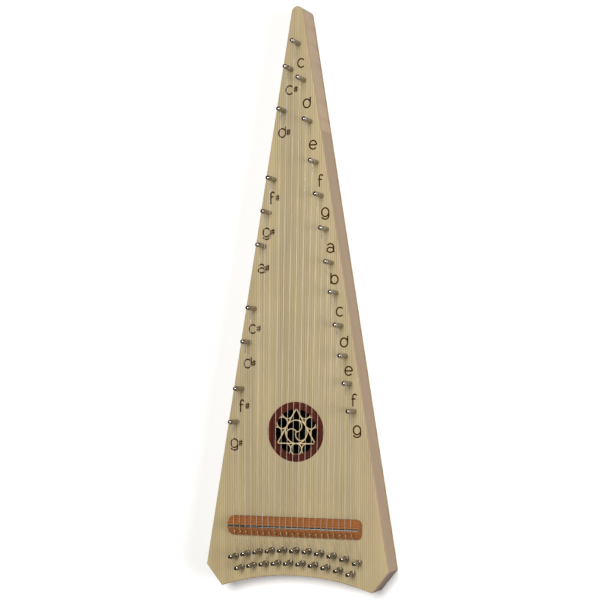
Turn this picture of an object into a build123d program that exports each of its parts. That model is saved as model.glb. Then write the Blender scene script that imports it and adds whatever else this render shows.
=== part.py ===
from build123d import *

import os
from math import acos, atan2, cos, degrees, hypot, radians, sin, sqrt

# Chromatic bowed psaltery: a triangular soundbox lying on its back, with a hitch pin for each string
# along its two long sides and a double row of tuning pins at the wide end.
# Millimetres. X runs across, Y from the wide end to the nose, Z up out of the soundboard.
# Sizes below are measured from the foot line (the two tips of the wide end) and from the back face.
# On export the model is shifted along Y, so that the origin is the middle of the back's bounding box.

# ---- Soundbox outline ----
BODY_LENGTH = 590.0  # foot line to the tip of the nose
SHOULDER_HALF_WIDTH = 97.5  # at the widest place
SHOULDER_RISE = 21.0  # from the foot line up to the widest place
CORNER_CUT = 17.0  # how far each foot stands in from the shoulder, across
END_ARC_RISE = 13.5  # depth of the hollow in the wide end
NOSE_RADIUS = 6.0

# ---- Soundbox layers and frame ----
BACK_THICKNESS = 4.0
RAIL_HEIGHT = 24.5
SOUNDBOARD_THICKNESS = 4.0
RAIL_WIDTH = 18.0
HEAD_BLOCK_LENGTH = 128.0  # from the tip of the nose
PIN_BLOCK_DEPTH = 50.0  # from the foot line
EDGE_ROUNDING = 0.9

# ---- Braces inside the box: (distance from the foot line, name) ----
BRACE_WIDTH = 8.0
BRACE_HEIGHT = 10.0
BRACE_CHAMFER = 2.0
SOUNDBOARD_BRACES = [(112.0, "soundboard_brace_lower"), (205.0, "soundboard_brace_upper")]
BACK_BRACES = [(130.0, "back_brace_lower"), (262.0, "back_brace_middle"), (385.0, "back_brace_upper")]

# ---- Rosette ----
ROSETTE_CENTRE = 157.3  # from the foot line
RING_OUTER_RADIUS = 30.1
RING_INNER_RADIUS = 23.0
TRACERY_RADIUS = 23.5  # of the circle that the triangle's corners lie on
RING_LIP = 1.0  # how far the ring stands above the soundboard
RING_COLLAR = 27.0  # radius of the part that sits in the sound hole
RING_COLLAR_DEPTH = 1.2
FRETWORK_THICKNESS = 1.8
TRIANGLE_FRET = 1.0  # widths of the frets; unequal, so that no two edges run into one another
CIRCLE_FRET = 0.9
WHORL_FRET = 0.8
GLUE_GAP = 0.02  # between round pieces that are glued or pressed into each other

# ---- Bridge and its saddle rod ----
ROD_DISTANCE = 62.0  # rod axis from the foot line
ROD_DIAMETER = 2.5
ROD_AXIS_HEIGHT = 9.75  # above the soundboard
ROD_END_INSET = 0.8  # from the end of the bridge to the end of the rod
BRIDGE_WIDTH = 19.5
BRIDGE_RIDGE_HEIGHT = 9.2
BRIDGE_RIDGE_WIDTH = 4.4
BRIDGE_FRONT_HEIGHT = 4.4  # edge towards the nose
BRIDGE_REAR_HEIGHT = 3.4  # edge towards the tuning pins
BRIDGE_SIDE_CLEARANCE = 20.4  # from the end of the bridge to the side of the body
BRIDGE_END_MARGIN = 7.7  # from the end of the bridge to the outermost string
BRIDGE_CORNER_RADIUS = 5.0
GUIDE_PIN_DIAMETER = 1.4
GUIDE_PIN_SETBACK = 5.3  # behind the rod axis
GUIDE_PIN_DEPTH = 3.2  # in the wood
GUIDE_PIN_TOP = 11.6  # above the soundboard

# ---- Hitch pins, in the rails ----
HITCH_PIN_DIAMETER = 5.0
HITCH_PIN_HEIGHT = 20.5  # above the soundboard
HITCH_PIN_DEPTH = 19.5  # below the soundboard's face
HITCH_PIN_INSET = 9.6  # from the side of the body
HITCH_PIN_DOME = 2.1
NOSE_TO_FIRST_PIN = 39.0
LOOP_HEIGHT = 12.0  # string loop above the soundboard
LOOP_GROOVE_DEPTH = 0.35
LOOP_GROOVE_WIDTH = 1.1
LOOP_TWIST_LENGTH = 8.0

# ---- Tuning pins, in the pin block ----
TUNING_PIN_DIAMETER = 5.0
TUNING_PIN_HEIGHT = 18.0  # above the soundboard
TUNING_PIN_DEPTH = 23.0  # below the soundboard's face
TUNING_PIN_DOME = 1.3
TUNING_SQUARE_SIZE = 4.3  # across the flats, at the foot of the square
TUNING_SQUARE_LENGTH = 9.0
TUNING_SQUARE_TAPER = 1.5  # degrees on each flat
TUNING_ROWS = (26.0, 13.2)  # of the upper and the lower row, from the edge of the hollow end
TUNING_ROW_OFFSET = 2.0  # the pins stand this far to the right of their strings' places
TUNING_SIDE_MARGIN = 6.5  # from the outermost pin's axis to the rail
RUNNING_CLEARANCE = 0.03  # radial, of a tuning pin in its hole
STRING_HOLE_DIAMETER = 1.6
COIL_TOP = 5.4  # above the soundboard
COIL_TURNS = 4
COIL_LIFT = 0.04  # between the turn that belongs to the string and the turns on the pin
LEVEL_RUN = 2.5  # of string, before it meets the pin
LAST_TURN = 200.0  # degrees of the turn that belongs to the string
LEVELLING_RADIUS = 4.0

# ---- Strings, longest first: note, side, length as a share of the longest, wire diameter ----
STRINGS = [
    ("c4", "right", 1.000, 0.45),
    ("cs4", "left", 0.947, 0.45),
    ("d4", "right", 0.923, 0.45),
    ("ds4", "left", 0.860, 0.45),
    ("e4", "right", 0.836, 0.45),
    ("f4", "right", 0.750, 0.45),
    ("fs4", "left", 0.718, 0.45),
    ("g4", "right", 0.681, 0.40),
    ("gs4", "left", 0.649, 0.40),
    ("a4", "right", 0.611, 0.40),
    ("as4", "left", 0.580, 0.40),
    ("b4", "right", 0.542, 0.40),
    ("c5", "right", 0.480, 0.40),
    ("cs5", "left", 0.450, 0.40),
    ("d5", "right", 0.413, 0.35),
    ("ds5", "left", 0.380, 0.35),
    ("e5", "right", 0.351, 0.35),
    ("f5", "right", 0.295, 0.35),
    ("fs5", "left", 0.283, 0.35),
    ("g5", "right", 0.239, 0.35),
    ("gs5", "left", 0.214, 0.35),
]

# ---- Worked out from the sizes above ----
FACE = BACK_THICKNESS + RAIL_HEIGHT + SOUNDBOARD_THICKNESS  # height of the soundboard's face
FOOT_HALF_WIDTH = SHOULDER_HALF_WIDTH - CORNER_CUT
END_ARC_RADIUS = (FOOT_HALF_WIDTH**2 + END_ARC_RISE**2) / (2 * END_ARC_RISE)
NOSE_CENTRE = BODY_LENGTH - NOSE_RADIUS
_run = NOSE_CENTRE - SHOULDER_RISE
_reach = hypot(SHOULDER_HALF_WIDTH, _run)
SIDE_TILT = acos(NOSE_RADIUS / _reach) - atan2(_run, SHOULDER_HALF_WIDTH)  # of the sides, radians
NOSE_TANGENT = (NOSE_RADIUS * cos(SIDE_TILT), NOSE_CENTRE + NOSE_RADIUS * sin(SIDE_TILT))
RAIL_ACROSS = RAIL_WIDTH / cos(SIDE_TILT)  # width of a rail, measured along X
HEAD_JOINT = BODY_LENGTH - HEAD_BLOCK_LENGTH
STRING_COUNT = len(STRINGS)
OVERSIZE = 2 * BODY_LENGTH  # of the tool shapes that trim others


def side_x(y):
    """Half width of the body at a distance y from the foot line, on the straight side."""
    share = (y - SHOULDER_RISE) / (NOSE_TANGENT[1] - SHOULDER_RISE)
    return SHOULDER_HALF_WIDTH + share * (NOSE_TANGENT[0] - SHOULDER_HALF_WIDTH)


def end_arc_y(x):
    """Height of the hollow end above the foot line, x from the centre line."""
    return END_ARC_RISE - END_ARC_RADIUS + sqrt(END_ARC_RADIUS**2 - x**2)


BRIDGE_HALF_LENGTH = side_x(ROD_DISTANCE) - BRIDGE_SIDE_CLEARANCE
STRING_PITCH = 2 * (BRIDGE_HALF_LENGTH - BRIDGE_END_MARGIN) / (STRING_COUNT - 1)
LONGEST_STRING = BODY_LENGTH - NOSE_TO_FIRST_PIN - ROD_DISTANCE
OUTER_TUNING_PIN = side_x(PIN_BLOCK_DEPTH) - RAIL_ACROSS - TUNING_SIDE_MARGIN
TUNING_PITCH = 2 * (OUTER_TUNING_PIN - TUNING_ROW_OFFSET) / (STRING_COUNT - 1)


# ---- Places of the pins ----
def string_places():
    """Each string's place on the bridge, counted from the left: the left side's strings come first,
    shortest outermost, and then the right side's, longest first."""
    left = [s[0] for s in STRINGS if s[1] == "left"][::-1]
    right = [s[0] for s in STRINGS if s[1] == "right"]
    return {note: place for place, note in enumerate(left + right)}


PLACES = string_places()


def bridge_x(note):
    """Where a string crosses the rod."""
    return (PLACES[note] - (STRING_COUNT - 1) / 2) * STRING_PITCH


def hitch_place(side, share):
    """A hitch pin's axis."""
    y = ROD_DISTANCE + share * LONGEST_STRING
    x = side_x(y) - HITCH_PIN_INSET / cos(SIDE_TILT)
    return (x if side == "right" else -x, y)


def side_places(side):
    """The hitch pins' axes along one side."""
    return [hitch_place(s, share) for _, s, share, _ in STRINGS if s == side]


def tuning_place(note):
    """A tuning pin's axis. Neighbouring strings take turns between the upper and the lower row."""
    x = TUNING_ROW_OFFSET + (PLACES[note] - (STRING_COUNT - 1) / 2) * TUNING_PITCH
    return (x, end_arc_y(x) + TUNING_ROWS[PLACES[note] % 2])


HITCH_PLACES = {note: hitch_place(side, share) for note, side, share, _ in STRINGS}
TUNING_PLACES = {note: tuning_place(note) for note, *_ in STRINGS}


# ---- Outlines ----
def body_outline():
    foot_left, foot_right = (-FOOT_HALF_WIDTH, 0), (FOOT_HALF_WIDTH, 0)
    shoulder_left = (-SHOULDER_HALF_WIDTH, SHOULDER_RISE)
    shoulder_right = (SHOULDER_HALF_WIDTH, SHOULDER_RISE)
    nose_left = (-NOSE_TANGENT[0], NOSE_TANGENT[1])
    return make_face(
        [
            ThreePointArc(foot_left, (0, END_ARC_RISE), foot_right),
            Polyline(foot_right, shoulder_right, NOSE_TANGENT),
            ThreePointArc(NOSE_TANGENT, (0, BODY_LENGTH), nose_left),
            Polyline(nose_left, shoulder_left, foot_left),
        ]
    )


def rail_band(hand):
    """The strip of plan that a rail takes up, from below the feet to the head block."""
    low = -SHOULDER_RISE
    corners = [(side_x(low), low), (side_x(HEAD_JOINT), HEAD_JOINT)]
    inner = [(x - RAIL_ACROSS, y) for x, y in reversed(corners)]
    return make_face(Polyline(*[(hand * x, y) for x, y in corners + inner], close=True))


def inside_outline():
    """Plan between the two rails."""
    return body_outline() - rail_band(1) - rail_band(-1)


def across_strip(low, high):
    """A strip of plan across the whole body."""
    return Pos(0, (low + high) / 2) * Rectangle(OVERSIZE, high - low)


def slab(face, height, bottom):
    """A face raised to a plate, from bottom up."""
    return Pos(0, 0, bottom) * extrude(face, amount=height)


def standing_rod(radius, height):
    """A cylinder that stands on the origin."""
    return Cylinder(radius, height, align=(Align.CENTER, Align.CENTER, Align.MIN))


def pin_holes(places, radius):
    return [Pos(x, y) * Circle(radius) for x, y in places.values()]


def hitch_holes():
    return pin_holes(HITCH_PLACES, HITCH_PIN_DIAMETER / 2 + GLUE_GAP)


def tuning_holes():
    return pin_holes(TUNING_PLACES, TUNING_PIN_DIAMETER / 2 + RUNNING_CLEARANCE)


def drilled(shape, places, radius, depth):
    """shape with a blind hole at each place, depth below the soundboard's face."""
    drill = [Pos(x, y, FACE - depth) * standing_rod(radius, depth) for x, y in places]
    return shape - drill if drill else shape


def outer_edges(shape, z):
    """The edges of a plate's rim that lie in the plane z."""
    face = shape.faces().filter_by_position(Axis.Z, z, z)[0]
    return face.outer_wire().edges()


# ---- Soundbox ----
def soundboard():
    plan = body_outline() - hitch_holes() - tuning_holes()
    plan -= Pos(0, ROSETTE_CENTRE) * Circle(RING_COLLAR + GLUE_GAP)
    board = slab(plan, SOUNDBOARD_THICKNESS, FACE - SOUNDBOARD_THICKNESS)
    return fillet(outer_edges(board, FACE), EDGE_ROUNDING)


def back():
    board = slab(body_outline(), BACK_THICKNESS, 0)
    return fillet(outer_edges(board, 0), EDGE_ROUNDING)


def rail(hand, side):
    plan = body_outline() & rail_band(hand)
    pins = [place for place in side_places(side) if place[1] < HEAD_JOINT]
    radius = HITCH_PIN_DIAMETER / 2 + GLUE_GAP
    return drilled(slab(plan, RAIL_HEIGHT, BACK_THICKNESS), pins, radius, HITCH_PIN_DEPTH + GLUE_GAP)


def head_block():
    plan = body_outline() & across_strip(HEAD_JOINT, OVERSIZE)
    pins = [place for place in HITCH_PLACES.values() if place[1] > HEAD_JOINT]
    radius = HITCH_PIN_DIAMETER / 2 + GLUE_GAP
    return drilled(slab(plan, RAIL_HEIGHT, BACK_THICKNESS), pins, radius, HITCH_PIN_DEPTH + GLUE_GAP)


def pin_block():
    plan = inside_outline() & across_strip(-SHOULDER_RISE, PIN_BLOCK_DEPTH)
    radius = TUNING_PIN_DIAMETER / 2 + RUNNING_CLEARANCE
    block = slab(plan, RAIL_HEIGHT, BACK_THICKNESS)
    return drilled(block, TUNING_PLACES.values(), radius, TUNING_PIN_DEPTH + RUNNING_CLEARANCE)


def brace(distance, bottom, free_face):
    """A cross brace between the rails. Its long edges on the free face are chamfered."""
    plan = inside_outline() & across_strip(distance - BRACE_WIDTH / 2, distance + BRACE_WIDTH / 2)
    bar = slab(plan, BRACE_HEIGHT, bottom)
    edges = bar.edges().filter_by(Axis.X).filter_by_position(Axis.Z, free_face, free_face)
    return chamfer(edges, BRACE_CHAMFER)


# ---- Rosette ----
def rosette_ring():
    """A turned ring: a lip that covers the edge of the sound hole, and a collar that sits in it."""
    lip = Pos(0, 0, FACE) * standing_rod(RING_OUTER_RADIUS, RING_LIP)
    lip = fillet(lip.edges().group_by(Axis.Z)[-1], RING_LIP * 0.8)
    collar = Pos(0, 0, FACE - RING_COLLAR_DEPTH) * standing_rod(RING_COLLAR, RING_COLLAR_DEPTH)
    bore = Cylinder(RING_INNER_RADIUS, OVERSIZE)
    return Pos(0, ROSETTE_CENTRE, 0) * (lip + collar - bore)


def ring_fret(x, y, radius, width):
    """A round fret."""
    return Pos(x, y) * (Circle(radius + width / 2) - Circle(radius - width / 2))


def half_ring_fret(x, y, radius, width, hand):
    """Half of a round fret: its right half for hand 1, its left half for hand -1."""
    reach = radius + width
    half = Pos(x + hand * reach / 2, y) * Rectangle(reach, 2 * reach)
    return ring_fret(x, y, radius, width) & half


def triangle(corner_radius):
    """An equilateral triangle that points at the nose."""
    corners = [(corner_radius * cos(radians(a)), corner_radius * sin(radians(a))) for a in (90, 210, 330)]
    return make_face(Polyline(*corners, close=True))


def rosette_fretwork():
    """A sawn disc behind the ring: a triangle with a circle in it, a three-armed whorl in the circle,
    and on each side of the triangle a circle with a half circle to its left and right."""
    step = TRACERY_RADIUS / 4
    rim = Circle(RING_COLLAR) - Circle(RING_INNER_RADIUS)
    frets = triangle(TRACERY_RADIUS + TRIANGLE_FRET) - triangle(TRACERY_RADIUS - TRIANGLE_FRET)
    frets += ring_fret(0, 0, 2 * step, CIRCLE_FRET)
    frets += Circle(WHORL_FRET)
    for turn in (0, 120, 240):
        frets += Rot(0, 0, turn) * half_ring_fret(0, step, step, WHORL_FRET, 1)
        frets += Rot(0, 0, turn) * ring_fret(0, -3 * step, step, CIRCLE_FRET)
        frets += Rot(0, 0, turn) * half_ring_fret(2 * step, -3 * step, step, WHORL_FRET, -1)
        frets += Rot(0, 0, turn) * half_ring_fret(-2 * step, -3 * step, step, WHORL_FRET, 1)
    plan = rim + (frets & Circle((TRACERY_RADIUS + RING_COLLAR) / 2))
    bottom = FACE - RING_COLLAR_DEPTH - FRETWORK_THICKNESS
    return Pos(0, ROSETTE_CENTRE, 0) * slab(plan, FRETWORK_THICKNESS, bottom)


# ---- Bridge ----
def bridge():
    half, ridge = BRIDGE_WIDTH / 2, BRIDGE_RIDGE_WIDTH / 2
    profile = make_face(
        Polyline(
            (-half, 0),
            (-half, BRIDGE_REAR_HEIGHT),
            (-ridge, BRIDGE_RIDGE_HEIGHT),
            (ridge, BRIDGE_RIDGE_HEIGHT),
            (half, BRIDGE_FRONT_HEIGHT),
            (half, 0),
            close=True,
        )
    )
    bar = extrude(Plane.YZ * profile, amount=BRIDGE_HALF_LENGTH, both=True)
    top_edges = bar.edges().filter_by(Axis.X).filter_by(lambda e: e.center().Z > BRIDGE_REAR_HEIGHT / 2)
    bar = fillet(top_edges, EDGE_ROUNDING)
    plan = RectangleRounded(2 * BRIDGE_HALF_LENGTH, BRIDGE_WIDTH, BRIDGE_CORNER_RADIUS)
    bar &= extrude(plan, amount=BRIDGE_RIDGE_HEIGHT)
    bar -= Pos(0, 0, ROD_AXIS_HEIGHT) * Rot(0, 90, 0) * Cylinder(ROD_DIAMETER / 2 + GLUE_GAP, OVERSIZE)
    seats = [guide_pin(note, GLUE_GAP) for note in PLACES]
    return Pos(0, ROD_DISTANCE, FACE) * bar - seats


def saddle_rod():
    rod = Rot(0, 90, 0) * Cylinder(ROD_DIAMETER / 2, 2 * (BRIDGE_HALF_LENGTH - ROD_END_INSET))
    rod = chamfer(rod.edges().filter_by(GeomType.CIRCLE), ROD_DIAMETER / 8)
    return Pos(0, ROD_DISTANCE, FACE + ROD_AXIS_HEIGHT) * rod


def wire_diameter(note):
    return next(s[3] for s in STRINGS if s[0] == note)


def guide_pin_surface():
    """Height of the bridge's rear slope, above the soundboard, where the guide pins stand."""
    fall = (BRIDGE_RIDGE_HEIGHT - BRIDGE_REAR_HEIGHT) / (BRIDGE_WIDTH / 2 - BRIDGE_RIDGE_WIDTH / 2)
    return BRIDGE_RIDGE_HEIGHT - (GUIDE_PIN_SETBACK - BRIDGE_RIDGE_WIDTH / 2) * fall


def guide_pin(note, growth=0.0):
    """A nail against which the string bends towards its tuning pin. growth makes it oversize, for
    the hole that it sits in."""
    radius = GUIDE_PIN_DIAMETER / 2 + growth
    bottom = guide_pin_surface() - GUIDE_PIN_DEPTH - growth
    x = bridge_x(note) + GUIDE_PIN_DIAMETER / 2 + wire_diameter(note) / 2 + GLUE_GAP
    nail = standing_rod(radius, GUIDE_PIN_TOP - bottom)
    nail = fillet(nail.edges().group_by(Axis.Z)[-1], GUIDE_PIN_DIAMETER / 3)
    return Pos(x, ROD_DISTANCE - GUIDE_PIN_SETBACK, FACE + bottom) * nail


# ---- Hitch pins ----
def hitch_pin():
    """A round steel pin with a domed top and a turned groove for the string's loop."""
    radius = HITCH_PIN_DIAMETER / 2
    pin = standing_rod(radius, HITCH_PIN_DEPTH + HITCH_PIN_HEIGHT)
    pin = fillet(pin.edges().group_by(Axis.Z)[-1], HITCH_PIN_DOME)
    groove_height = HITCH_PIN_DEPTH + LOOP_HEIGHT
    core = Cylinder(radius - LOOP_GROOVE_DEPTH, LOOP_GROOVE_WIDTH)
    groove = Cylinder(2 * radius, LOOP_GROOVE_WIDTH) - core
    return Pos(0, 0, -HITCH_PIN_DEPTH) * (pin - Pos(0, 0, groove_height) * groove)


def hitch_pins(side):
    pin = hitch_pin()
    return Compound([Pos(x, y, FACE) * pin for x, y in side_places(side)])


# ---- Tuning pins ----
def tuning_pin():
    """A round pin with a tapered square head for the tuning key, and a cross hole for the string's end."""
    radius = TUNING_PIN_DIAMETER / 2
    pin = standing_rod(radius, TUNING_PIN_DEPTH + TUNING_PIN_HEIGHT)
    pin = Pos(0, 0, -TUNING_PIN_DEPTH) * fillet(pin.edges().group_by(Axis.Z)[-1], TUNING_PIN_DOME)
    square_foot = TUNING_PIN_HEIGHT - TUNING_SQUARE_LENGTH
    shank = pin & Pos(0, 0, square_foot - OVERSIZE) * standing_rod(2 * radius, OVERSIZE)
    flats = Rectangle(TUNING_SQUARE_SIZE, TUNING_SQUARE_SIZE)
    square = extrude(flats, amount=TUNING_SQUARE_LENGTH, taper=TUNING_SQUARE_TAPER)
    square = Pos(0, 0, square_foot) * square
    hole_height = (COIL_TOP + square_foot) / 2
    hole = Pos(0, 0, hole_height) * Rot(0, 90, 0) * Cylinder(STRING_HOLE_DIAMETER / 2, 4 * radius)
    return shank + (pin & square) - hole


def winding(wire):
    """The turns of wire that go round with the pin, close-wound below the string's own turn."""
    inner = TUNING_PIN_DIAMETER / 2 + GLUE_GAP
    axis_radius = inner + wire / 2
    top = COIL_TOP - wire / 2 - COIL_LIFT
    low = top - COIL_TURNS * wire
    rim = [
        ThreePointArc((axis_radius, 0, top - k * wire), (axis_radius + wire / 2, 0, top - (k + 0.5) * wire),
                      (axis_radius, 0, top - (k + 1) * wire))
        for k in range(COIL_TURNS)
    ]
    inside = Polyline((axis_radius, 0, low), (inner, 0, low), (inner, 0, top), (axis_radius, 0, top))
    return revolve(make_face(rim + [inside]), Axis.Z)


def tuning_pin_with_winding(note, pin):
    x, y = TUNING_PLACES[note]
    return Compound([Pos(x, y, FACE) * pin, Pos(x, y, FACE) * winding(wire_diameter(note))])


# ---- Strings ----
def string(note):
    """From its loop on the hitch pin over the rod and past its guide pin, then half round its
    tuning pin."""
    wire = wire_diameter(note)
    hitch_x, hitch_y = HITCH_PLACES[note]
    pin_x, pin_y = TUNING_PLACES[note]
    rod_radius = ROD_DIAMETER / 2 + wire / 2 + GLUE_GAP
    over_rod = Vector(bridge_x(note), ROD_DISTANCE, FACE + ROD_AXIS_HEIGHT + rod_radius)
    loop_centre = Vector(hitch_x, hitch_y, FACE + LOOP_HEIGHT)
    along = (over_rod - loop_centre).normalized()
    loop_radius = HITCH_PIN_DIAMETER / 2 - LOOP_GROOVE_DEPTH + GLUE_GAP + wire / 2

    turn_radius = TUNING_PIN_DIAMETER / 2 + RUNNING_CLEARANCE + wire / 2
    guide_y = ROD_DISTANCE - GUIDE_PIN_SETBACK
    reach = hypot(over_rod.X - pin_x, guide_y - pin_y)
    meet = atan2(guide_y - pin_y, over_rod.X - pin_x) - acos(turn_radius / reach)
    end = Vector(pin_x + turn_radius * cos(meet), pin_y + turn_radius * sin(meet), FACE + COIL_TOP)
    back_along = Vector(-sin(meet), cos(meet), 0)
    level = end + back_along * LEVEL_RUN
    run = (guide_y - level.Y) / (over_rod.Y - level.Y)
    beside_guide = Vector(over_rod.X, guide_y, level.Z + run * (over_rod.Z - level.Z))

    start = loop_centre + along * (loop_radius + LOOP_TWIST_LENGTH)
    guide_radius = GUIDE_PIN_DIAMETER / 2 + wire / 2 + GLUE_GAP
    bends = [rod_radius, guide_radius, LEVELLING_RADIUS]
    route = FilletPolyline(start, over_rod, beside_guide, level, end, radius=bends)
    last_turn = CenterArc((pin_x, pin_y, FACE + COIL_TOP), turn_radius, degrees(meet), -LAST_TURN)
    section = Plane(origin=start, z_dir=along) * Circle(wire / 2)
    wire_solid = sweep(section, path=Wire(route.edges() + last_turn.edges()))

    twist_plane = Plane(origin=loop_centre + along * loop_radius, z_dir=along)
    twist = extrude(twist_plane * Circle(wire), amount=LOOP_TWIST_LENGTH)
    eye = Pos(*loop_centre) * Torus(loop_radius, wire / 2)
    return wire_solid + twist + eye


# ---- Assembly ----
def all_parts():
    under_soundboard = FACE - SOUNDBOARD_THICKNESS
    pin = tuning_pin()
    parts = {
        "soundboard": soundboard(),
        "back": back(),
        "rail_left": rail(-1, "left"),
        "rail_right": rail(1, "right"),
        "head_block": head_block(),
        "pin_block": pin_block(),
        "rosette_ring": rosette_ring(),
        "rosette_fretwork": rosette_fretwork(),
        "bridge": bridge(),
        "saddle_rod": saddle_rod(),
        "guide_pins": Compound([guide_pin(note) for note in PLACES]),
        "hitch_pins_left": hitch_pins("left"),
        "hitch_pins_right": hitch_pins("right"),
    }
    for distance, name in SOUNDBOARD_BRACES:
        bottom = under_soundboard - BRACE_HEIGHT
        parts[name] = brace(distance, bottom, bottom)
    for distance, name in BACK_BRACES:
        parts[name] = brace(distance, BACK_THICKNESS, BACK_THICKNESS + BRACE_HEIGHT)
    for note, *_ in STRINGS:
        parts[f"string_{note}"] = string(note)
        parts[f"tuning_pin_{note}"] = tuning_pin_with_winding(note, pin)
    return parts


def main():
    os.makedirs("parts", exist_ok=True)
    for name, shape in all_parts().items():
        export_step(Pos(0, -BODY_LENGTH / 2, 0) * shape, f"parts/{name}.step")


if __name__ == "__main__":
    main()
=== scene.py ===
"""Finishes, note marks, string twists and a small studio for a bowed psaltery."""

from math import atan, cos, pi, radians, sin

import bpy
from bpy.props import FloatProperty, FloatVectorProperty, PointerProperty
from mathutils import Matrix, Vector


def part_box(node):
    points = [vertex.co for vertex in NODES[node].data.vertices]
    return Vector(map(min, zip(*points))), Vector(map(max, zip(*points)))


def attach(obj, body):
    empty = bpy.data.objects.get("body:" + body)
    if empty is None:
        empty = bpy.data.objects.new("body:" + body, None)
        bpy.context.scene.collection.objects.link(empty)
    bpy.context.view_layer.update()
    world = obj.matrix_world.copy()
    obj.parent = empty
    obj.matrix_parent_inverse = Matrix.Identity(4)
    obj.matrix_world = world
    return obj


bl_info = {
    "name": "Bowed Psaltery Finishes",
    "version": (1, 0, 0),
    "blender": (4, 5, 0),
    "location": "3D View > Sidebar > Psaltery",
    "description": "Woods, wires, note marks and a small studio for a bowed psaltery",
    "category": "Object",
}

MM = 0.001
SOUNDBOX = "soundbox"

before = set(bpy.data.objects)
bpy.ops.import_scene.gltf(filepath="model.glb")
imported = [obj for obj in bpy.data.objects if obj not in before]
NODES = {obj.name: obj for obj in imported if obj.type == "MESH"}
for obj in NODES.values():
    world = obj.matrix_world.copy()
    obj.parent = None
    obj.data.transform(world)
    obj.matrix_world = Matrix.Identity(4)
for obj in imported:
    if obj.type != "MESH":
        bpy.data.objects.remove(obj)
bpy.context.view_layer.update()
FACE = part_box("soundboard")[1].z

# ---- Names of the pieces ----
BRACES = [name for name in NODES if "_brace_" in name]
STRINGS = [name for name in NODES if name.startswith("string_")]
TUNING_PINS = [name for name in NODES if name.startswith("tuning_pin_")]

# ---- Note marks, from the nose down: letter, then how far right of and below its hitch pin, in mm ----
NATURAL_MARKS = [
    ("c", 3, 20), ("d", 3, 24), ("e", 3, 24), ("f", 4, 19), ("g", 4, 17), ("a", 4, 19),
    ("b", 3, 17), ("c", 4, 19), ("d", 3, 17), ("e", 3, 15), ("f", 4, 17), ("g", 3, 19),
]
SHARP_MARKS = [
    ("c", -2, 21), ("d", -3, 22), ("f", -3, 19), ("g", -3, 20), ("a", -3, 23),
    ("c", -2, 21), ("d", -2, 22), ("f", -1, 18), ("g", -3, 22),
]
SHARP_SIGN_OFFSET = (6.6, 0.4)  # right of and above the middle of its letter, mm
SHARP_SIGN_SHARE = 0.7  # of the letters' height

# ---- Pins and wires, mm ----
WINDING_TOP = 5.5  # top of the wire wound on a tuning pin, above the soundboard
PIN_SPACING = 8.0  # less than the least distance between two hitch pins of one side, along the body
PIN_TIP = 0.05  # how far below its highest point a pin's tip is taken to reach
TWIST_WIRE = 0.4
TWIST_START = 2.9  # from the axis of the hitch pin
TWIST_STEPS = 56
STRAND_OFFSET = 1.05  # of a strand from the middle of the twist, in wire diameters

# ---- Camera: where it stands (metres) and its own right, up and back directions ----
CAMERA_PLACE = (0.5769, -0.0774, 1.5076)
CAMERA_AXES = ((0.9322, 0.0030, -0.3618), (0.0137, 0.9990, 0.0437), (0.3616, -0.0457, 0.9312))
CAMERA_LENS = 94.2
CAMERA_SENSOR = 36.0

# ---- Studio lights: name, place in metres, power in watts, width in metres, tint ----
LIGHTS = (
    ("key", (0.15, 0.35, 2.2), 47.0, 0.8, (1.0, 0.985, 0.96)),
    ("fill", (1.9, -0.3, 1.2), 26.0, 1.0, (0.98, 0.99, 1.0)),
    ("low", (-0.5, -1.8, 1.4), 6.0, 0.7, (1.0, 1.0, 1.0)),
)
SKY_STRENGTH = 0.1

# ---- Growth of wood ----
ONE_BAND = 0.314  # scale at which a band of the wave texture is one unit wide
GROWTH_LENGTH = 900.0  # mm over which a growth line keeps its shape


def linear(code):
    """An sRGB hex colour as linear red, green, blue and alpha."""
    parts = [int(code[i:i + 2], 16) / 255 for i in (1, 3, 5)]
    return tuple(v / 12.92 if v <= 0.04045 else ((v + 0.055) / 1.055) ** 2.4 for v in parts) + (1.0,)


def colour(name, description, code):
    """A colour that a user can change."""
    return FloatVectorProperty(name=name, description=description, default=linear(code), size=4,
                               min=0.0, max=1.0, subtype="COLOR")


def length(name, description, default_mm):
    """A length that a user can change."""
    return FloatProperty(name=name, description=description, default=default_mm * MM, min=0.0,
                         subtype="DISTANCE", unit="LENGTH", precision=5)


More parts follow.
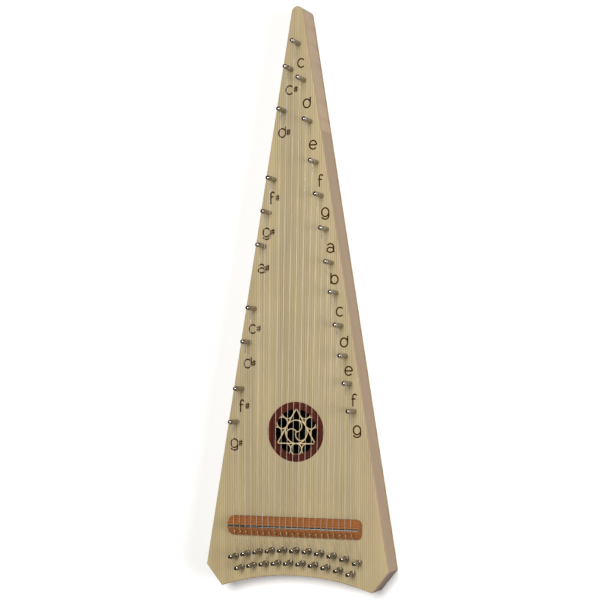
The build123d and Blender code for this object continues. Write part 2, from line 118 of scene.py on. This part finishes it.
class PSALTERY_PG_colours(bpy.types.PropertyGroup):
    """Colours of the woods, the metals and the floor."""

    spruce: colour("Spruce", "Early wood of the soundboard", "#ad9c74")
    spruce_line: colour("Spruce line", "Late wood, the darker lines of the soundboard", "#7c6640")
    spruce_edge: colour("Spruce edge", "Edge of the soundboard, rubbed with the sides", "#9c7c58")
    beech: colour("Beech", "Ground colour of the sides, the back and the blocks", "#a58c6c")
    beech_line: colour("Beech line", "Darker growth in the beech", "#836545")
    cherry: colour("Cherry", "Ground colour of the bridge", "#945a2c")
    cherry_line: colour("Cherry line", "Darker growth in the bridge", "#643a1e")
    rosewood: colour("Rosewood", "Ground colour of the rosette's ring", "#511804")
    rosewood_line: colour("Rosewood line", "Dark streaks in the rosette's ring", "#200602")
    maple: colour("Maple", "Fretwork of the rosette", "#cfba8c")
    maple_line: colour("Maple line", "Darker growth in the fretwork", "#a58450")
    maple_edge: colour("Maple edge", "Sawn edges of the fretwork, browned by the laser", "#6e4a22")
    # Partly the end grain's own darker tone and partly painted shade on the faces where the fibres are cut
    # across.
    end_grain_and_shade: colour("End grain", "What end grain takes its tone from", "#7a5238")
    # Painted shade: a near-black colour for the shade inside the box, put on the inner face of the back.
    inside_shade: colour("Painted shade inside", "Inner face of the back", "#0b0705")
    burn: colour("Burnt mark", "Note letters, scorched into the wood", "#2a1403")
    burn_light: colour("Burnt mark, lighter", "Where a letter is scorched less", "#43250a")
    nickel: colour("Nickel", "Plated pins", "#9a9288")
    steel: colour("Steel", "Strings and rod", "#aca89f")
    brass: colour("Brass", "Guide nails", "#d9b978")
    winding: colour("Winding", "Wire wound on the tuning pins", "#6e675c")
    floor: colour("Floor", "Pale studio floor", "#f4f4f4")
    floor_light: colour("Floor, lighter", "Lighter clouds in the floor's paint", "#f8f8f8")


class PSALTERY_PG_sizes(bpy.types.PropertyGroup):
    """Sizes of the note marks, the string twists and the studio."""

    letter_height: length("Letter height", "Height of a small letter without its stem", 8.8)
    letter_width: length("Letter width", "Width of a round letter", 7.6)
    letter_line: length("Letter line", "Width of a letter's line", 1.5)
    letter_relief: length("Letter relief", "How far a burnt line swells out of the wood", 0.06)
    twist_length: length("Twist length", "Twisted part of a string beside its hitch pin", 8.0)
    twist_pitch: length("Twist pitch", "Length of one turn of the twist", 1.9)
    floor_width: length("Floor width", "Side of the studio floor", 9000.0)


def colours():
    return bpy.context.scene.psaltery_colours


def sizes():
    return bpy.context.scene.psaltery_sizes


# ---- Materials ----
def add(tree, kind, inputs=None, stops=None, **properties):
    """Adds a node with its properties, its inputs (a value or another node's output) and its ramp."""
    made = tree.nodes.new("ShaderNode" + kind)
    for name, value in properties.items():
        setattr(made, name, value)
    for name, value in (inputs or {}).items():
        socket = made.inputs[name]
        if isinstance(value, bpy.types.NodeSocket):
            tree.links.new(value, socket)
        else:
            socket.default_value = value
    if stops:
        ramp = made.color_ramp
        while len(ramp.elements) < len(stops):
            ramp.elements.new(1.0)
        for element, (place, shade) in zip(ramp.elements, stops):
            element.position = place
            element.color = shade
    return made


def grey(value):
    return (value, value, value, 1.0)


def mixed(tree, factor, low, high, blend="MIX"):
    """A colour between low and high, or low blended with high."""
    node = add(tree, "Mix", data_type="RGBA", blend_type=blend)
    for socket, value in ((0, factor), (6, low), (7, high)):
        if isinstance(value, bpy.types.NodeSocket):
            tree.links.new(value, node.inputs[socket])
        else:
            node.inputs[socket].default_value = value
    return node.outputs[2]


def blank(name, **values):
    """A new material with its shader's plain values set."""
    made = bpy.data.materials.new(name)
    made.use_nodes = True
    shader = made.node_tree.nodes["Principled BSDF"]
    for socket, value in values.items():
        shader.inputs[socket.replace("_", " ")].default_value = value
    return made, made.node_tree, shader


def along_grain(tree, turn, across, lengthwise, depth):
    """Coordinates in grain units: each size is the millimetres that one unit spans.
    turn is the direction of the grain, in radians from +Y."""
    place = add(tree, "TexCoord").outputs["Object"]
    turned = add(tree, "Mapping", {"Vector": place, "Rotation": (0.0, 0.0, turn)})
    scale = tuple(1.0 / (size * MM) for size in (across, lengthwise, depth))
    return add(tree, "Mapping", {"Vector": turned.outputs[0], "Scale": scale}).outputs[0]


def wood(name, ground, line, turn=0.0, ring=1.7, late=0.5, pore=0.35, streak=14.0, roughness=0.5,
         contrast=0.55, relief=0.004, coat=0.0, gleam=0.5, end_grain_and_shade=0.0, edge=None):
    """Planed wood with its grain turned from +Y by turn, in radians. ring is the width of a year's growth,
    pore that of a fibre line and streak that of a broad band of tone, all in mm. late is the share of a
    ring that is pale early wood, contrast how dark the rest is, and relief the depth of the grain in mm.
    end_grain_and_shade is how much darker the wood is where the fibres are cut across, partly the end
    grain's own tone and partly painted shade on those faces, and edge the tone of faces that stand upright,
    where the growth doesn't show. gleam is the strength of its reflections."""
    made, tree, shader = blank(name, Coat_Weight=coat, Coat_Roughness=0.3, IOR=1.5, Specular_IOR_Level=gleam)
    rings = add(tree, "TexWave", {
        "Vector": along_grain(tree, turn, ring, GROWTH_LENGTH, ring * 14), "Scale": ONE_BAND,
        "Distortion": 3.4, "Detail": 2.0, "Detail Scale": 0.35, "Detail Roughness": 0.6,
    }, wave_type="BANDS", bands_direction="X")
    uneven = add(tree, "TexNoise", {
        "Vector": along_grain(tree, turn, ring * 1.7, 420.0, 40.0), "Scale": 1.0, "Detail": 3.0})
    fibres = add(tree, "TexNoise", {
        "Vector": along_grain(tree, turn, pore, 14.0, 3.0), "Scale": 1.0, "Detail": 2.0})
    bands = add(tree, "TexNoise", {
        "Vector": along_grain(tree, turn, streak, 620.0, 60.0), "Scale": 1.0, "Detail": 2.0})
    flame = add(tree, "TexNoise", {
        "Vector": along_grain(tree, turn, 26.0, 60.0, 30.0), "Scale": 1.0, "Detail": 1.0})
    late_wood = add(tree, "ValToRGB", {"Fac": rings.outputs["Fac"]}, stops=[
        (late, grey(0.0)), (late + 0.75 * (1.0 - late), grey(0.7)), (1.0, grey(1.0))])
    share = add(tree, "MapRange", {"Value": uneven.outputs["Fac"], "From Min": 0.3, "From Max": 0.7,
                                   "To Min": 1.25 * contrast, "To Max": 0.5 * contrast})
    growth = add(tree, "Math", {0: late_wood.outputs[0], 1: share.outputs[0]}, operation="MULTIPLY")
    shade = mixed(tree, growth.outputs[0], ground, line)
    for pattern, low, high, strength in ((fibres, 0.86, 1.03, 0.6), (bands, 0.87, 1.05, 0.8),
                                         (flame, 0.95, 1.03, 0.8)):
        tone = add(tree, "ValToRGB", {"Fac": pattern.outputs["Fac"]}, stops=[
            (0.32, grey(low)), (0.68, grey(high))])
        shade = mixed(tree, strength, shade, tone.outputs[0], "MULTIPLY")
    # Partly painted shade: faces where the fibres are cut across are darkened more than end grain alone
    # would be.
    if end_grain_and_shade:
        faced = add(tree, "VectorMath", {0: add(tree, "TexCoord").outputs["Normal"],
                                         1: (sin(turn), cos(turn), 0.0)}, operation="DOT_PRODUCT")
        across = add(tree, "Math", {0: faced.outputs["Value"]}, operation="ABSOLUTE")
        cut = add(tree, "MapRange", {"Value": across.outputs[0], "From Min": 0.35, "From Max": 0.7,
                                     "To Max": end_grain_and_shade})
        shade = mixed(tree, cut.outputs[0], shade, colours().end_grain_and_shade, "MULTIPLY")
    if edge:
        normal = add(tree, "SeparateXYZ", {"Vector": add(tree, "TexCoord").outputs["Normal"]}).outputs["Z"]
        facing = add(tree, "Math", {0: normal}, operation="ABSOLUTE").outputs[0]
        upright = add(tree, "MapRange", {"Value": facing, "From Min": 0.85, "From Max": 0.5}).outputs[0]
        plain = mixed(tree, 1.0, edge, tone.outputs[0], "MULTIPLY")
        shade = mixed(tree, upright, shade, plain)
    tree.links.new(shade, shader.inputs["Base Color"])
    gloss = add(tree, "MapRange", {"Value": fibres.outputs["Fac"], "To Min": roughness - 0.07,
                                   "To Max": roughness + 0.09})
    tree.links.new(gloss.outputs[0], shader.inputs["Roughness"])
    height = add(tree, "Math", {0: late_wood.outputs[0], 1: fibres.outputs["Fac"]}, operation="ADD")
    bump = add(tree, "Bump", {"Height": height.outputs[0], "Strength": 1.0, "Distance": relief * MM})
    tree.links.new(bump.outputs[0], shader.inputs["Normal"])
    return made


def metal(name, tone, roughness, scratch, axis):
    """Drawn or plated metal: fine lines scratch mm wide and a faint cloudiness in the polish.
    The lines run round a piece that was turned about the Z axis, and along one drawn on X or Y."""
    made, tree, shader = blank(name, Base_Color=tone, Metallic=1.0)
    place = add(tree, "TexCoord").outputs["Object"]
    fine, long = 1.0 / (scratch * MM), 1.0 / (12.0 * MM)
    scale = {"Z": (long, long, fine), "X": (long, fine, fine), "Y": (fine, long, fine)}[axis]
    lines = add(tree, "TexNoise", {
        "Vector": add(tree, "Mapping", {"Vector": place, "Scale": scale}).outputs[0],
        "Scale": 1.0, "Detail": 2.0})
    cloud = add(tree, "TexNoise", {
        "Vector": add(tree, "Mapping", {"Vector": place, "Scale": (400.0,) * 3}).outputs[0], "Scale": 1.0,
        "Detail": 3.0})
    both = add(tree, "Math", {0: lines.outputs["Fac"], 1: cloud.outputs["Fac"]}, operation="ADD")
    gloss = add(tree, "MapRange", {"Value": both.outputs[0], "From Min": 0.6, "From Max": 1.4,
                                   "To Min": roughness * 0.7, "To Max": roughness * 1.4})
    tree.links.new(gloss.outputs[0], shader.inputs["Roughness"])
    tint = add(tree, "ValToRGB", {"Fac": cloud.outputs["Fac"]}, stops=[(0.3, grey(0.88)), (0.7, grey(1.0))])
    tree.links.new(mixed(tree, 1.0, tone, tint.outputs[0], "MULTIPLY"), shader.inputs["Base Color"])
    bump = add(tree, "Bump", {"Height": lines.outputs["Fac"], "Strength": 0.12, "Distance": 0.004 * MM})
    tree.links.new(bump.outputs[0], shader.inputs["Normal"])
    return made


def paint(names, material):
    """Gives CAD nodes a material."""
    for name in names:
        piece = NODES[name]
        piece.data.materials.clear()
        piece.data.materials.append(material)


def side_tilt():
    """How far the sides lean in from the long axis, from the line of hitch pins."""
    axes = pin_axes("hitch_pins_right")
    return atan((axes[-1].x - axes[0].x) / (axes[0].y - axes[-1].y))


def pin_axes(node):
    """The axes of the hitch pins at their tops, from the nose down."""
    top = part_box(node)[1].z
    tips = [v.co for v in NODES[node].data.vertices if v.co.z > top - PIN_TIP * MM]
    tips.sort(key=lambda tip: -tip.y)
    groups = [[tips[0]]]
    for tip in tips[1:]:
        if groups[-1][0].y - tip.y > PIN_SPACING * MM:
            groups.append([])
        groups[-1].append(tip)
    return [sum(group, Vector()) / len(group) for group in groups]


# ---- New geometry ----
def tube_mesh(name, runs, radius, flatten=None):
    """A mesh of round wires along runs of points. flatten is (height, share): heights are squeezed
    towards that height."""
    curve = bpy.data.curves.new(name, "CURVE")
    curve.dimensions = "3D"
    curve.bevel_depth = radius
    curve.bevel_resolution = 3
    curve.use_fill_caps = True
    for run in runs:
        spline = curve.splines.new("POLY")
        spline.points.add(len(run) - 1)
        for point, place in zip(spline.points, run):
            point.co = (*place, 1.0)
    holder = bpy.data.objects.new(name, curve)
    mesh = bpy.data.meshes.new_from_object(holder)
    bpy.data.objects.remove(holder)
    bpy.data.curves.remove(curve)
    mesh.name = name
    if flatten:
        height, share = flatten
        for vertex in mesh.vertices:
            vertex.co.z = height + (vertex.co.z - height) * share
    for polygon in mesh.polygons:
        polygon.use_smooth = True
    piece = bpy.data.objects.new(name, mesh)
    bpy.context.scene.collection.objects.link(piece)
    return piece


def arc(centre, width, height, start, end, steps=28):
    """Points on an upright oval, angles in degrees from its right end, anticlockwise."""
    turns = [radians(start + (end - start) * k / steps) for k in range(steps + 1)]
    return [(centre[0] + width * cos(t), centre[1] + height * sin(t)) for t in turns]


def letter_strokes(letter):
    """A letter's lines. One unit across is half a round letter's width, and one up is half its height;
    the middle of the round part is at (0, 0)."""
    bowl = arc((0, 0), 1, 1, 0, 360)
    return {
        "a": [arc((0, -0.42), 0.92, 0.58, 0, 360),
              arc((0, 0.18), 0.92, 0.82, 150, 0, 14) + [(0.92, -0.7), (1.12, -1.0)]],
        "b": [bowl, [(-1, 1.55), (-1, -1)]],
        "c": [arc((0, 0), 1, 1, 42, 318)],
        "d": [bowl, [(1, 1.5), (1, -0.1)]],
        "e": [arc((0, 0), 1, 1, 0, 322), [(-0.98, 0.0), (1.0, 0.0)]],
        "f": [arc((0.25, 0.95), 0.5, 0.5, 20, 180, 12) + [(-0.25, -1.35)], [(-0.6, 0.35), (0.5, 0.35)]],
        "g": [bowl, [(1, -0.2)] + arc((0, -0.85), 1, 0.75, 0, -160, 16)],
        "#": [[(-0.35, -1), (-0.15, 1)], [(0.25, -1), (0.45, 1)], [(-0.9, -0.4), (0.9, -0.2)],
              [(-0.9, 0.3), (0.9, 0.5)]],
    }[letter]


def mark(name, letter, middle, share, material):
    """Burns a letter into the soundboard, share times the usual size."""
    across, up = sizes().letter_width / 2 * share, sizes().letter_height / 2 * share
    runs = [[(middle[0] + x * across, middle[1] + y * up, FACE) for x, y in run]
            for run in letter_strokes(letter)]
    half_line = sizes().letter_line / 2 * share
    piece = tube_mesh(name, runs, half_line, flatten=(FACE, sizes().letter_relief / half_line))
    piece.data.materials.append(material)
    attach(piece, SOUNDBOX)


def rod_crossing(node):
    """Where a string passes over the saddle rod."""
    low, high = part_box("saddle_rod")
    middle = (low.y + high.y) / 2
    near = sorted(NODES[node].data.vertices, key=lambda v: abs(v.co.y - middle))[:10]
    return sum((v.co for v in near), Vector()) / len(near)


def string_loop(node, axes):
    """The middle of a string's loop: the point at its height on the nearest hitch pin's axis."""
    loop_end = max((v.co for v in NODES[node].data.vertices), key=lambda p: p.y)
    axis = min(axes, key=lambda a: (a.x - loop_end.x) ** 2 + (a.y - loop_end.y) ** 2)
    return Vector((axis.x, axis.y, loop_end.z))


def twist(node, axes, wire):
    """Two strands of wire twisted round each other between a string's loop and its plain part."""
    loop, rod = string_loop(node, axes), rod_crossing(node)
    along = (rod - loop).normalized()
    side = along.cross(Vector((0, 0, 1))).normalized()
    up = side.cross(along)
    start = TWIST_START * MM
    runs = []
    for phase in (0.0, pi):
        run = []
        for k in range(TWIST_STEPS + 1):
            far = start + sizes().twist_length * k / TWIST_STEPS
            turn = phase + 2 * pi * (far - start) / sizes().twist_pitch
            run.append(loop + along * far + (side * cos(turn) + up * sin(turn)) * wire * STRAND_OFFSET)
        runs.append(run)
    return tube_mesh(node.replace("string", "twist"), runs, wire * 0.5)


# ---- Operators ----
class PSALTERY_OT_soundboard(bpy.types.Operator):
    """Finish the soundboard"""

    bl_idname = "psaltery.soundboard"
    bl_label = "Soundboard"

    def execute(self, context):
        # Quartersawn spruce, planed and matt lacquered: fine straight lines of growth from end to end.
        # Growth is 2 mm wide, which is near the real one and still shows from a distance.
        board = wood("Spruce quartersawn matt lacquered", colours().spruce, colours().spruce_line,
                     ring=2.0, late=0.42, pore=0.5, streak=11.0, roughness=0.5, contrast=0.62, coat=0.04,
                     end_grain_and_shade=0.4, edge=colours().spruce_edge)
        paint(["soundboard"], board)
        # Rough-sawn spruce inside the box: the same wood, duller.
        inside = wood("Spruce sawn", colours().spruce, colours().spruce_line, turn=pi / 2, roughness=0.75,
                      relief=0.02)
        paint(BRACES, inside)
        return {"FINISHED"}


class PSALTERY_OT_frame(bpy.types.Operator):
    """Finish the sides, the back and the blocks"""

    bl_idname = "psaltery.frame"
    bl_label = "Sides, back and blocks"

    def darken_inside(self, made):
        """Paints the face of the back that is inside the box nearly black: painted shade for the dark inside
        of the box.
        """
        tree = made.node_tree
        shader = tree.nodes["Principled BSDF"]
        height = add(tree, "SeparateXYZ", {"Vector": add(tree, "TexCoord").outputs["Object"]}).outputs["Z"]
        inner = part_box("back")[1].z - 0.1 * MM
        # Painted shade: faces at and above the back's inner face, inside the box, take the near-black
        # colour.
        shaded_inside = add(tree, "Math", {0: height, 1: inner}, operation="GREATER_THAN").outputs[0]
        bare = shader.inputs["Base Color"].links[0].from_socket
        tree.links.new(mixed(tree, shaded_inside, bare, colours().inside_shade), shader.inputs["Base Color"])

    def execute(self, context):
        # Beech, planed: brown with a faint, soft figure, and much darker where its ends are cut: partly the
        # end grain's own tone, partly painted shade on those faces.
        tilt = side_tilt()
        # The back is left without a shine, so that the painted shade inside it stays dark.
        for name, turn, contrast, gleam in (("rail_right", -tilt, 0.5, 0.5), ("rail_left", tilt, 0.5, 0.5),
                                            ("back", 0.0, 0.5, 0.0), ("head_block", 0.0, 0.25, 0.5)):
            made = wood(f"Beech planed {name}", colours().beech, colours().beech_line, turn=turn, ring=3.2,
                        pore=0.5, streak=7.0, roughness=0.5, contrast=contrast, gleam=gleam, end_grain_and_shade=0.9)
            # Painted shade: the inner face of the back is made nearly black.
            if name == "back":
                self.darken_inside(made)
            paint([name], made)
        block = wood("Beech planed pin_block", colours().beech, colours().beech_line, turn=pi / 2, ring=2.4,
                     roughness=0.55, contrast=0.8, end_grain_and_shade=0.9)
        paint(["pin_block"], block)
        return {"FINISHED"}


class PSALTERY_OT_rosette(bpy.types.Operator):
    """Finish the rosette's ring and fretwork"""

    bl_idname = "psaltery.rosette"
    bl_label = "Rosette"

    def execute(self, context):
        # Rosewood, turned and polished: red-brown with near-black streaks and a soft shine.
        ring = wood("Rosewood turned polished", colours().rosewood, colours().rosewood_line, ring=3.4,
                    pore=0.5, streak=6.0, roughness=0.42, contrast=0.85, gleam=0.14)
        paint(["rosette_ring"], ring)
        # Maple, cut by laser: pale faces, and edges scorched brown, which make the frets look thinner.
        fret = wood("Maple fretwork", colours().maple, colours().maple_line, ring=1.5, pore=0.3,
                    roughness=0.6, contrast=0.4, edge=colours().maple_edge)
        paint(["rosette_fretwork"], fret)
        return {"FINISHED"}


class PSALTERY_OT_bridge(bpy.types.Operator):
    """Finish the bridge, its rod and its guide nails"""

    bl_idname = "psaltery.bridge"
    bl_label = "Bridge"

    def execute(self, context):
        # Cherry, shaped and oiled: warm orange-brown with fine grain along the bar.
        bar = wood("Cherry oiled", colours().cherry, colours().cherry_line, turn=pi / 2, ring=2.2, pore=0.45,
                   streak=5.0, roughness=0.42, contrast=0.6, coat=0.05, gleam=0.35)
        paint(["bridge"], bar)
        # Drawn steel rod, polished: long highlights broken by fine lines along it.
        paint(["saddle_rod"], metal("Steel drawn polished rod", colours().steel, 0.12, 0.12, "X"))
        # Brass-plated nails: small warm heads with a soft shine.
        paint(["guide_pins"], metal("Brass plated nails", colours().brass, 0.34, 0.10, "Z"))
        return {"FINISHED"}


class PSALTERY_OT_pins(bpy.types.Operator):
    """Finish the hitch pins and the tuning pins"""

    bl_idname = "psaltery.pins"
    bl_label = "Pins"

    def dull_windings(self, made):
        """Darkens each tuning pin below WINDING_TOP, where the steel wire is wound on it, so the pins are
        darker near the soundboard.
        """
        tree = made.node_tree
        shader = tree.nodes["Principled BSDF"]
        height = add(tree, "SeparateXYZ", {"Vector": add(tree, "TexCoord").outputs["Object"]}).outputs["Z"]
        wound = add(tree, "Math", {0: height, 1: FACE + WINDING_TOP * MM}, operation="LESS_THAN").outputs[0]
        plated = shader.inputs["Base Color"].links[0].from_socket
        tree.links.new(mixed(tree, wound, plated, colours().winding), shader.inputs["Base Color"])

    def execute(self, context):
        # Nickel plate on turned steel: mirror-like, with faint rings round the pin.
        hitch = metal("Nickel plated hitch pins", colours().nickel, 0.1, 0.15, "Z")
        paint(["hitch_pins_left", "hitch_pins_right"], hitch)
        tuning = metal("Nickel plated tuning pins", colours().nickel, 0.12, 0.12, "Z")
        self.dull_windings(tuning)
        paint(TUNING_PINS, tuning)
        return {"FINISHED"}


class PSALTERY_OT_strings(bpy.types.Operator):
    """Finish the strings and twist their loops"""

    bl_idname = "psaltery.strings"
    bl_label = "Strings"

    def execute(self, context):
        # Drawn steel music wire: thin pale lines, dulled along their length.
        wire = metal("Steel music wire drawn", colours().steel, 0.42, 0.10, "Y")
        paint(STRINGS, wire)
        axes = pin_axes("hitch_pins_left") + pin_axes("hitch_pins_right")
        for name in STRINGS:
            piece = twist(name, axes, TWIST_WIRE * MM)
            piece.data.materials.append(wire)
            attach(piece, SOUNDBOX)
        return {"FINISHED"}


class PSALTERY_OT_marks(bpy.types.Operator):
    """Burn the note letters into the soundboard"""

    bl_idname = "psaltery.marks"
    bl_label = "Note marks"

    def execute(self, context):
        # Scorched spruce: very dark brown, dull, and not quite even.
        made, tree, shader = blank("Spruce scorched", Roughness=0.9, Specular_IOR_Level=0.05)
        soot = add(tree, "TexNoise", {"Vector": along_grain(tree, 0.0, 0.8, 3.0, 2.0), "Scale": 1.0,
                                      "Detail": 3.0})
        tone = mixed(tree, soot.outputs["Fac"], colours().burn, colours().burn_light)
        tree.links.new(tone, shader.inputs["Base Color"])
        rough = add(tree, "Bump", {"Height": soot.outputs["Fac"], "Strength": 0.3, "Distance": 0.04 * MM})
        tree.links.new(rough.outputs[0], shader.inputs["Normal"])
        for side, marks in (("right", NATURAL_MARKS), ("left", SHARP_MARKS)):
            places = zip(pin_axes("hitch_pins_" + side), marks)
            for number, (axis, (letter, right, below)) in enumerate(places, start=1):
                middle = (axis.x + right * MM, axis.y - below * MM)
                mark(f"mark_{side}_{number}_{letter}", letter, middle, 1.0, made)
                if side == "left":
                    sign = (middle[0] + SHARP_SIGN_OFFSET[0] * MM, middle[1] + SHARP_SIGN_OFFSET[1] * MM)
                    mark(f"mark_{side}_{number}_sharp", "#", sign, SHARP_SIGN_SHARE, made)
        return {"FINISHED"}


class PSALTERY_OT_studio(bpy.types.Operator):
    """Build the floor, the lights and the camera"""

    bl_idname = "psaltery.studio"
    bl_label = "Studio"

    def light(self, name, place, power, width, tint):
        """A square soft light that points at the middle of the instrument's back."""
        lamp = bpy.data.lights.new(name, "AREA")
        lamp.energy = power
        lamp.size = width
        lamp.color = tint
        holder = bpy.data.objects.new(name, lamp)
        holder.location = place
        holder.rotation_euler = (-Vector(place)).to_track_quat("-Z", "Y").to_euler()
        bpy.context.scene.collection.objects.link(holder)

    def execute(self, context):
        half = sizes().floor_width / 2
        mesh = bpy.data.meshes.new("floor")
        mesh.from_pydata([(-half, -half, 0), (half, -half, 0), (half, half, 0), (-half, half, 0)], [],
                         [(0, 1, 2, 3)])
        floor = bpy.data.objects.new("floor", mesh)
        bpy.context.scene.collection.objects.link(floor)
        # Matt painted board: pale, with only a trace of unevenness.
        made, tree, shader = blank("Board painted pale matt", Roughness=0.9)
        cloud = add(tree, "TexNoise", {"Vector": add(tree, "TexCoord").outputs["Object"], "Scale": 3.0})
        tone = mixed(tree, cloud.outputs["Fac"], colours().floor, colours().floor_light)
        tree.links.new(tone, shader.inputs["Base Color"])
        mesh.materials.append(made)

        for light in LIGHTS:
            self.light(*light)

        world = bpy.data.worlds.new("studio")
        world.use_nodes = True
        sky = world.node_tree.nodes["Background"]
        sky.inputs["Color"].default_value = (1.0, 1.0, 1.0, 1.0)
        sky.inputs["Strength"].default_value = SKY_STRENGTH
        context.scene.world = world

        lens = bpy.data.cameras.new("camera")
        lens.lens = CAMERA_LENS
        lens.sensor_width = CAMERA_SENSOR
        camera = bpy.data.objects.new("camera", lens)
        turned = Matrix(CAMERA_AXES).transposed()
        camera.matrix_world = Matrix.Translation(CAMERA_PLACE) @ turned.to_4x4()
        context.scene.collection.objects.link(camera)
        context.scene.camera = camera
        context.scene.view_settings.view_transform = "Standard"
        return {"FINISHED"}


class PSALTERY_PT_panel(bpy.types.Panel):
    """Lists the pieces' operators"""

    bl_label = "Psaltery"
    bl_idname = "PSALTERY_PT_panel"
    bl_space_type = "VIEW_3D"
    bl_region_type = "UI"
    bl_category = "Psaltery"

    def draw(self, context):
        for operator in OPERATORS:
            self.layout.operator(operator.bl_idname)


OPERATORS = (
    PSALTERY_OT_soundboard, PSALTERY_OT_frame, PSALTERY_OT_rosette, PSALTERY_OT_bridge, PSALTERY_OT_pins,
    PSALTERY_OT_strings, PSALTERY_OT_marks, PSALTERY_OT_studio,
)
CLASSES = (PSALTERY_PG_colours, PSALTERY_PG_sizes) + OPERATORS + (PSALTERY_PT_panel,)


def register():
    for each in CLASSES:
        bpy.utils.register_class(each)
    bpy.types.Scene.psaltery_colours = PointerProperty(type=PSALTERY_PG_colours)
    bpy.types.Scene.psaltery_sizes = PointerProperty(type=PSALTERY_PG_sizes)


def unregister():
    del bpy.types.Scene.psaltery_sizes
    del bpy.types.Scene.psaltery_colours
    for each in reversed(CLASSES):
        bpy.utils.unregister_class(each)


def main():
    register()
    bpy.ops.psaltery.soundboard()
    bpy.ops.psaltery.frame()
    bpy.ops.psaltery.rosette()
    bpy.ops.psaltery.bridge()
    bpy.ops.psaltery.pins()
    bpy.ops.psaltery.strings()
    bpy.ops.psaltery.marks()
    bpy.ops.psaltery.studio()


if __name__ == "__main__":
    main()
